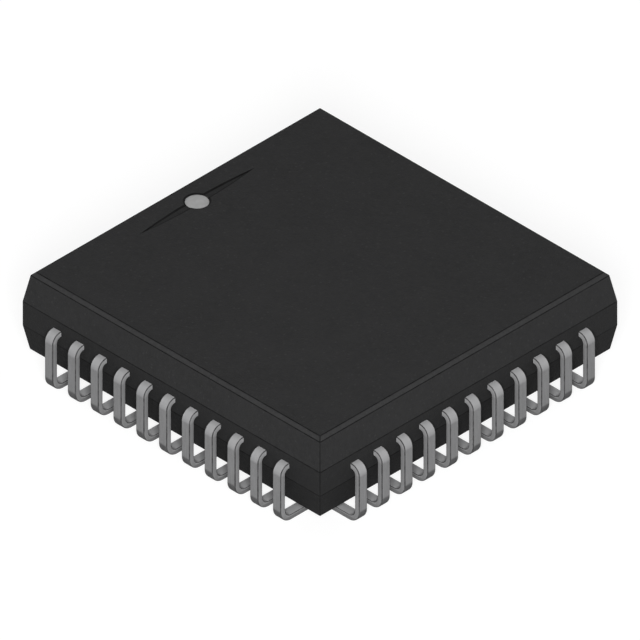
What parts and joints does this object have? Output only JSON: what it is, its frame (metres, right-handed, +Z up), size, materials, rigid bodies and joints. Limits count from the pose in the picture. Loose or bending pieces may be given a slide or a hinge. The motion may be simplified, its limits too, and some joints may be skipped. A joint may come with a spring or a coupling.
{
  "type": "plastic leaded chip carrier",
  "caption": "Square black moulded chip package with a row of J-shaped tinned leads on each side, a bevelled top edge and a round grey mark by the first lead.",
  "frame": {"origin": "middle of the underside, on the seating plane that the flat feet stand on", "axes": "+Z up through the top face; the row whose middle lead is lead 1, with the mark above it, is on the -X side; leads count anticlockwise seen from +Z"},
  "size_m": [0.0176, 0.0176, 0.0046],
  "materials": {
    "black_epoxy": "fine-grained satin moulding compound",
    "grey_ink": "flat light grey marking ink",
    "tinned_lead": "matt tin plating with faint draw lines",
    "pad_copper": "bare copper alloy",
    "silver_glue": "cured silver-filled glue",
    "silicon": "polished silicon",
    "gold_wire": "drawn gold wire"
  },
  "bodies": {
    "root": {"moulded_body": "black_epoxy", "pin_1_dot": "grey_ink", "die_pad": "pad_copper", "die_attach": "silver_glue", "die": "silicon", "lead_01": "tinned_lead", "lead_02": "tinned_lead", "lead_03": "tinned_lead", "lead_04": "tinned_lead", "lead_05": "tinned_lead", "lead_06": "tinned_lead", "lead_07": "tinned_lead", "lead_08": "tinned_lead", "lead_09": "tinned_lead", "lead_10": "tinned_lead", "lead_11": "tinned_lead", "lead_12": "tinned_lead", "lead_13": "tinned_lead", "lead_14": "tinned_lead", "lead_15": "tinned_lead", "lead_16": "tinned_lead", "lead_17": "tinned_lead", "lead_18": "tinned_lead", "lead_19": "tinned_lead", "lead_20": "tinned_lead", "lead_21": "tinned_lead", "lead_22": "tinned_lead", "lead_23": "tinned_lead", "lead_24": "tinned_lead", "lead_25": "tinned_lead", "lead_26": "tinned_lead", "lead_27": "tinned_lead", "lead_28": "tinned_lead", "lead_29": "tinned_lead", "lead_30": "tinned_lead", "lead_31": "tinned_lead", "lead_32": "tinned_lead", "lead_33": "tinned_lead", "lead_34": "tinned_lead", "lead_35": "tinned_lead", "lead_36": "tinned_lead", "lead_37": "tinned_lead", "lead_38": "tinned_lead", "lead_39": "tinned_lead", "lead_40": "tinned_lead", "lead_41": "tinned_lead", "lead_42": "tinned_lead", "lead_43": "tinned_lead", "lead_44": "tinned_lead", "bond_wires_minus_x": "gold_wire", "bond_wires_minus_y": "gold_wire", "bond_wires_plus_x": "gold_wire", "bond_wires_plus_y": "gold_wire"}
  },
  "joints": []
}
